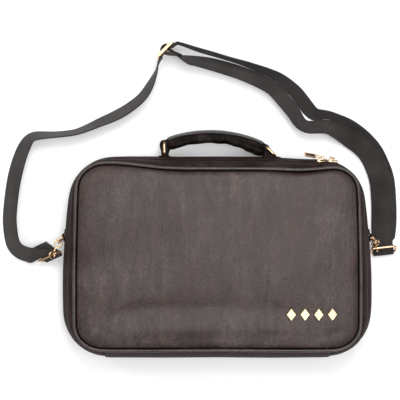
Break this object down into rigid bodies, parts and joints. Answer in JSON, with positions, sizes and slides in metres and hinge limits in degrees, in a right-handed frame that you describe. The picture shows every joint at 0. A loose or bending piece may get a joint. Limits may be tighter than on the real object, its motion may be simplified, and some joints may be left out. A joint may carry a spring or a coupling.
{
  "type": "tefillin bag",
  "caption": "Soft leather zipped bag for prayer items, lying on its back, with a carrying handle and a clipped webbing shoulder strap.",
  "frame": {"origin": "the middle of the underside of the back panel, on the surface that the bag lies on", "axes": "+X to the bag's right, +Y to its top with the handle, +Z out of its front panel"},
  "size_m": [0.4832, 0.3817, 0.0779],
  "materials": {
    "leather": "soft grained brown leather with a low sheen",
    "webbing": "matt woven webbing",
    "tape": "matt woven tape with a fine zip",
    "gold": "polished pale gold plate"
  },
  "bodies": {
    "bag": {"back_panel": "leather", "base_gusset": "leather", "clasp_left": "gold", "clasp_right": "gold", "d_ring_left": "gold", "d_ring_right": "gold", "front_gusset": "leather", "front_panel": "leather", "front_piping": "leather", "handle_anchor_left": "leather", "handle_anchor_right": "leather", "handle_grip": "leather", "handle_loop_left": "leather", "handle_loop_right": "leather", "handle_ring_left": "gold", "handle_ring_right": "gold", "ornament_1": "gold", "ornament_2": "gold", "ornament_3": "gold", "ornament_4": "gold", "rear_gusset": "leather", "rear_piping": "leather", "shoulder_strap": "webbing", "side_tab_left": "leather", "side_tab_right": "leather", "strap_ring_left": "gold", "strap_ring_right": "gold", "strap_slider": "gold", "zip_slider_left": "gold", "zip_slider_right": "gold", "zip_tape": "tape"},
    "zip_pull_left": {"zip_pull_left": "gold"},
    "zip_pull_right": {"zip_pull_right": "gold"},
    "clasp_gate_left": {"clasp_gate_left": "gold"},
    "clasp_gate_right": {"clasp_gate_right": "gold"}
  },
  "joints": [
    {"name": "pull_left_hinge", "type": "hinge", "parent": "bag", "child": "zip_pull_left", "pos_m": [0.12393, 0.11868, 0.048], "axis": [-0.0174, 0.6426, -0.766], "range_deg": [-4, 90]},
    {"name": "pull_right_hinge", "type": "hinge", "parent": "bag", "child": "zip_pull_right", "pos_m": [0.13754, 0.11671, 0.048], "axis": [0.9909, -0.1343, 0], "range_deg": [-3, 90]},
    {"name": "gate_left_hinge", "type": "hinge", "parent": "bag", "child": "clasp_gate_left", "pos_m": [-0.19602, 0.01258, 0.02481], "axis": [-0.0786, -0.1577, -0.9844], "range_deg": [0, 20], "stiffness_Nm_per_rad": 0.001},
    {"name": "gate_right_hinge", "type": "hinge", "parent": "bag", "child": "clasp_gate_right", "pos_m": [0.19044, 0.01175, 0.01779], "axis": [-0.2499, 0.6518, -0.7161], "range_deg": [0, 20], "stiffness_Nm_per_rad": 0.001}
  ]
}
